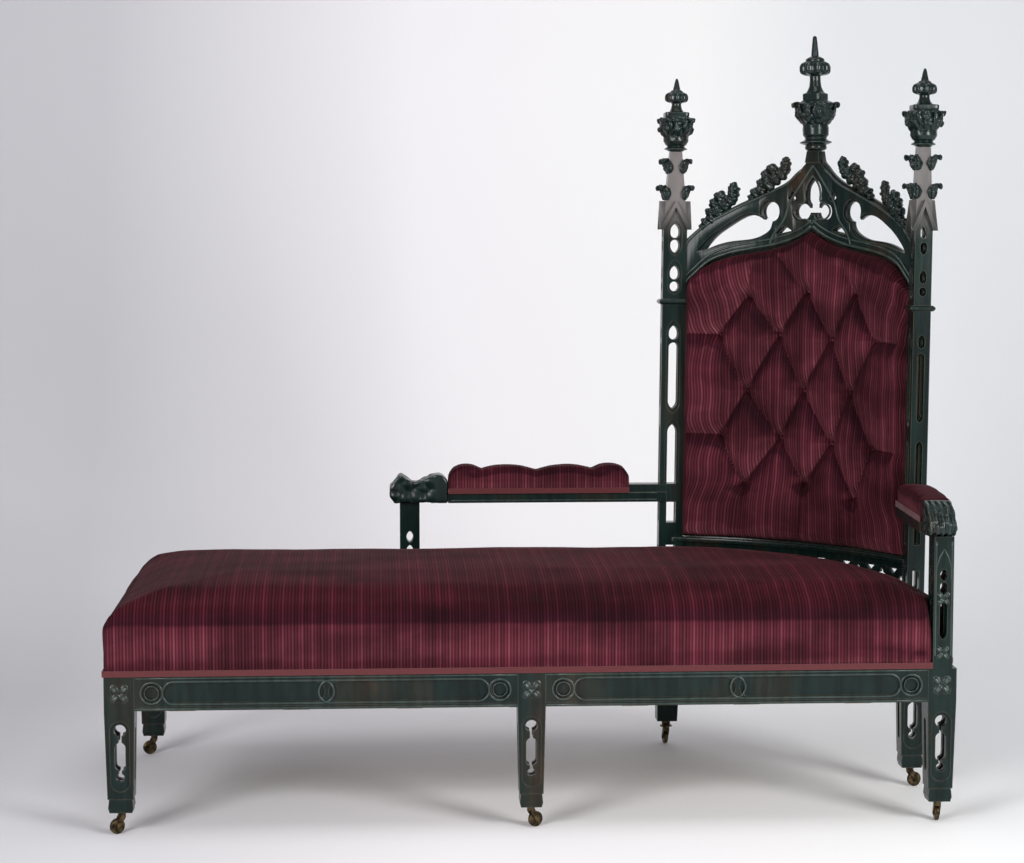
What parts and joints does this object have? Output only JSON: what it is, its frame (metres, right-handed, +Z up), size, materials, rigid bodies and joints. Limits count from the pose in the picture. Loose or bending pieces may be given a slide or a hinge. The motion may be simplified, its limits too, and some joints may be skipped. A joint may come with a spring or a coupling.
{
  "type": "fainting couch",
  "caption": "Gothic Revival fainting couch with a buttoned concave back between pierced spired posts, low padded arms, a stuffed velvet seat and carved legs on brass casters.",
  "frame": {"origin": "on the floor, under the middle of the couch's overall plan", "axes": "+X along the couch from its open end to the end with the high back, +Y from the long open front to the back, +Z up"},
  "size_m": [1.747, 0.8274, 1.6242],
  "materials": {
    "ebonised_wood": "ebonised, worn to brown on the edges",
    "plain_wood": "unfinished",
    "velvet": "striped burgundy velvet",
    "braid": "woven red braid",
    "webbing": "jute webbing",
    "canvas": "hessian",
    "lining": "plain burgundy cloth",
    "spring_wire": "coppered wire",
    "brass": "tarnished"
  },
  "bodies": {
    "frame": {"back_arcade": "ebonised_wood", "back_canvas": "canvas", "back_left_leg": "ebonised_wood", "back_rail": "ebonised_wood", "back_stiles": "plain_wood", "back_upholstery": "velvet", "caster_sockets": "brass", "corner_blocks": "plain_wood", "corner_seat_rail": "ebonised_wood", "crest_crockets": "ebonised_wood", "crest_finial": "ebonised_wood", "crest_tracery": "ebonised_wood", "front_left_leg": "ebonised_wood", "front_middle_leg": "ebonised_wood", "front_rail_left": "ebonised_wood", "front_rail_right": "ebonised_wood", "front_right_leg": "ebonised_wood", "left_arm_gimp": "braid", "left_arm_pad": "velvet", "left_arm_rail": "ebonised_wood", "left_arm_scroll": "ebonised_wood", "left_arm_support": "ebonised_wood", "left_back_post": "ebonised_wood", "left_end_rail": "ebonised_wood", "left_pinnacle_crockets": "ebonised_wood", "left_pinnacle_finial": "ebonised_wood", "lower_back_rail": "ebonised_wood", "outside_back_lining": "lining", "right_arm_gimp": "braid", "right_arm_pad": "velvet", "right_arm_rail": "ebonised_wood", "right_arm_scroll": "ebonised_wood", "right_back_post": "ebonised_wood", "right_pinnacle_crockets": "ebonised_wood", "right_pinnacle_finial": "ebonised_wood", "right_side_rail": "ebonised_wood", "seat_gimp": "braid", "seat_springs": "spring_wire", "seat_upholstery": "velvet", "seat_webbing_cross": "webbing", "seat_webbing_long": "webbing", "spring_canvas": "canvas", "tufting_buttons": "velvet"},
    "fork_front_left": {"caster_fork_front_left": "brass"},
    "wheel_front_left": {"caster_wheel_front_left": "brass"},
    "fork_front_middle": {"caster_fork_front_middle": "brass"},
    "wheel_front_middle": {"caster_wheel_front_middle": "brass"},
    "fork_front_right": {"caster_fork_front_right": "brass"},
    "wheel_front_right": {"caster_wheel_front_right": "brass"},
    "fork_back_left": {"caster_fork_back_left": "brass"},
    "wheel_back_left": {"caster_wheel_back_left": "brass"},
    "fork_left_post": {"caster_fork_left_post": "brass"},
    "wheel_left_post": {"caster_wheel_left_post": "brass"},
    "fork_right_post": {"caster_fork_right_post": "brass"},
    "wheel_right_post": {"caster_wheel_right_post": "brass"}
  },
  "joints": [
    {"name": "swivel_front_left", "type": "hinge", "parent": "frame", "child": "fork_front_left", "pos_m": [-0.84053, -0.36287, 0.0424], "axis": [0, 0, 1], "continuous": true},
    {"name": "roll_front_left", "type": "hinge", "parent": "fork_front_left", "child": "wheel_front_left", "pos_m": [-0.84954, -0.36918, 0.0155], "axis": [0.5736, -0.8192, 0], "continuous": true},
    {"name": "swivel_front_middle", "type": "hinge", "parent": "frame", "child": "fork_front_middle", "pos_m": [-0.02353, -0.36287, 0.0424], "axis": [0, 0, 1], "continuous": true},
    {"name": "roll_front_middle", "type": "hinge", "parent": "fork_front_middle", "child": "wheel_front_middle", "pos_m": [-0.01401, -0.35737, 0.0155], "axis": [-0.5, 0.866, 0], "continuous": true},
    {"name": "swivel_front_right", "type": "hinge", "parent": "frame", "child": "fork_front_right", "pos_m": [0.80447, -0.36287, 0.0424], "axis": [0, 0, 1], "continuous": true},
    {"name": "roll_front_right", "type": "hinge", "parent": "fork_front_right", "child": "wheel_front_right", "pos_m": [0.80542, -0.35191, 0.0155], "axis": [-0.9962, 0.0872, 0], "continuous": true},
    {"name": "swivel_back_left", "type": "hinge", "parent": "frame", "child": "fork_back_left", "pos_m": [-0.84053, 0.35313, 0.0424], "axis": [0, 0, 1], "continuous": true},
    {"name": "roll_back_left", "type": "hinge", "parent": "fork_back_left", "child": "wheel_back_left", "pos_m": [-0.8505, 0.34848, 0.0155], "axis": [0.4226, -0.9063, 0], "continuous": true},
    {"name": "swivel_left_post", "type": "hinge", "parent": "frame", "child": "fork_left_post", "pos_m": [0.34047, 0.38513, 0.0424], "axis": [0, 0, 1], "continuous": true},
    {"name": "roll_left_post", "type": "hinge", "parent": "fork_left_post", "child": "wheel_left_post", "pos_m": [0.33951, 0.39609, 0.0155], "axis": [-0.9962, -0.0872, 0], "continuous": true},
    {"name": "swivel_right_post", "type": "hinge", "parent": "frame", "child": "fork_right_post", "pos_m": [0.81497, -0.06187, 0.0424], "axis": [0, 0, 1], "continuous": true},
    {"name": "roll_right_post", "type": "hinge", "parent": "fork_right_post", "child": "wheel_right_post", "pos_m": [0.8253, -0.05811, 0.0155], "axis": [-0.342, 0.9397, 0], "continuous": true}
  ]
}
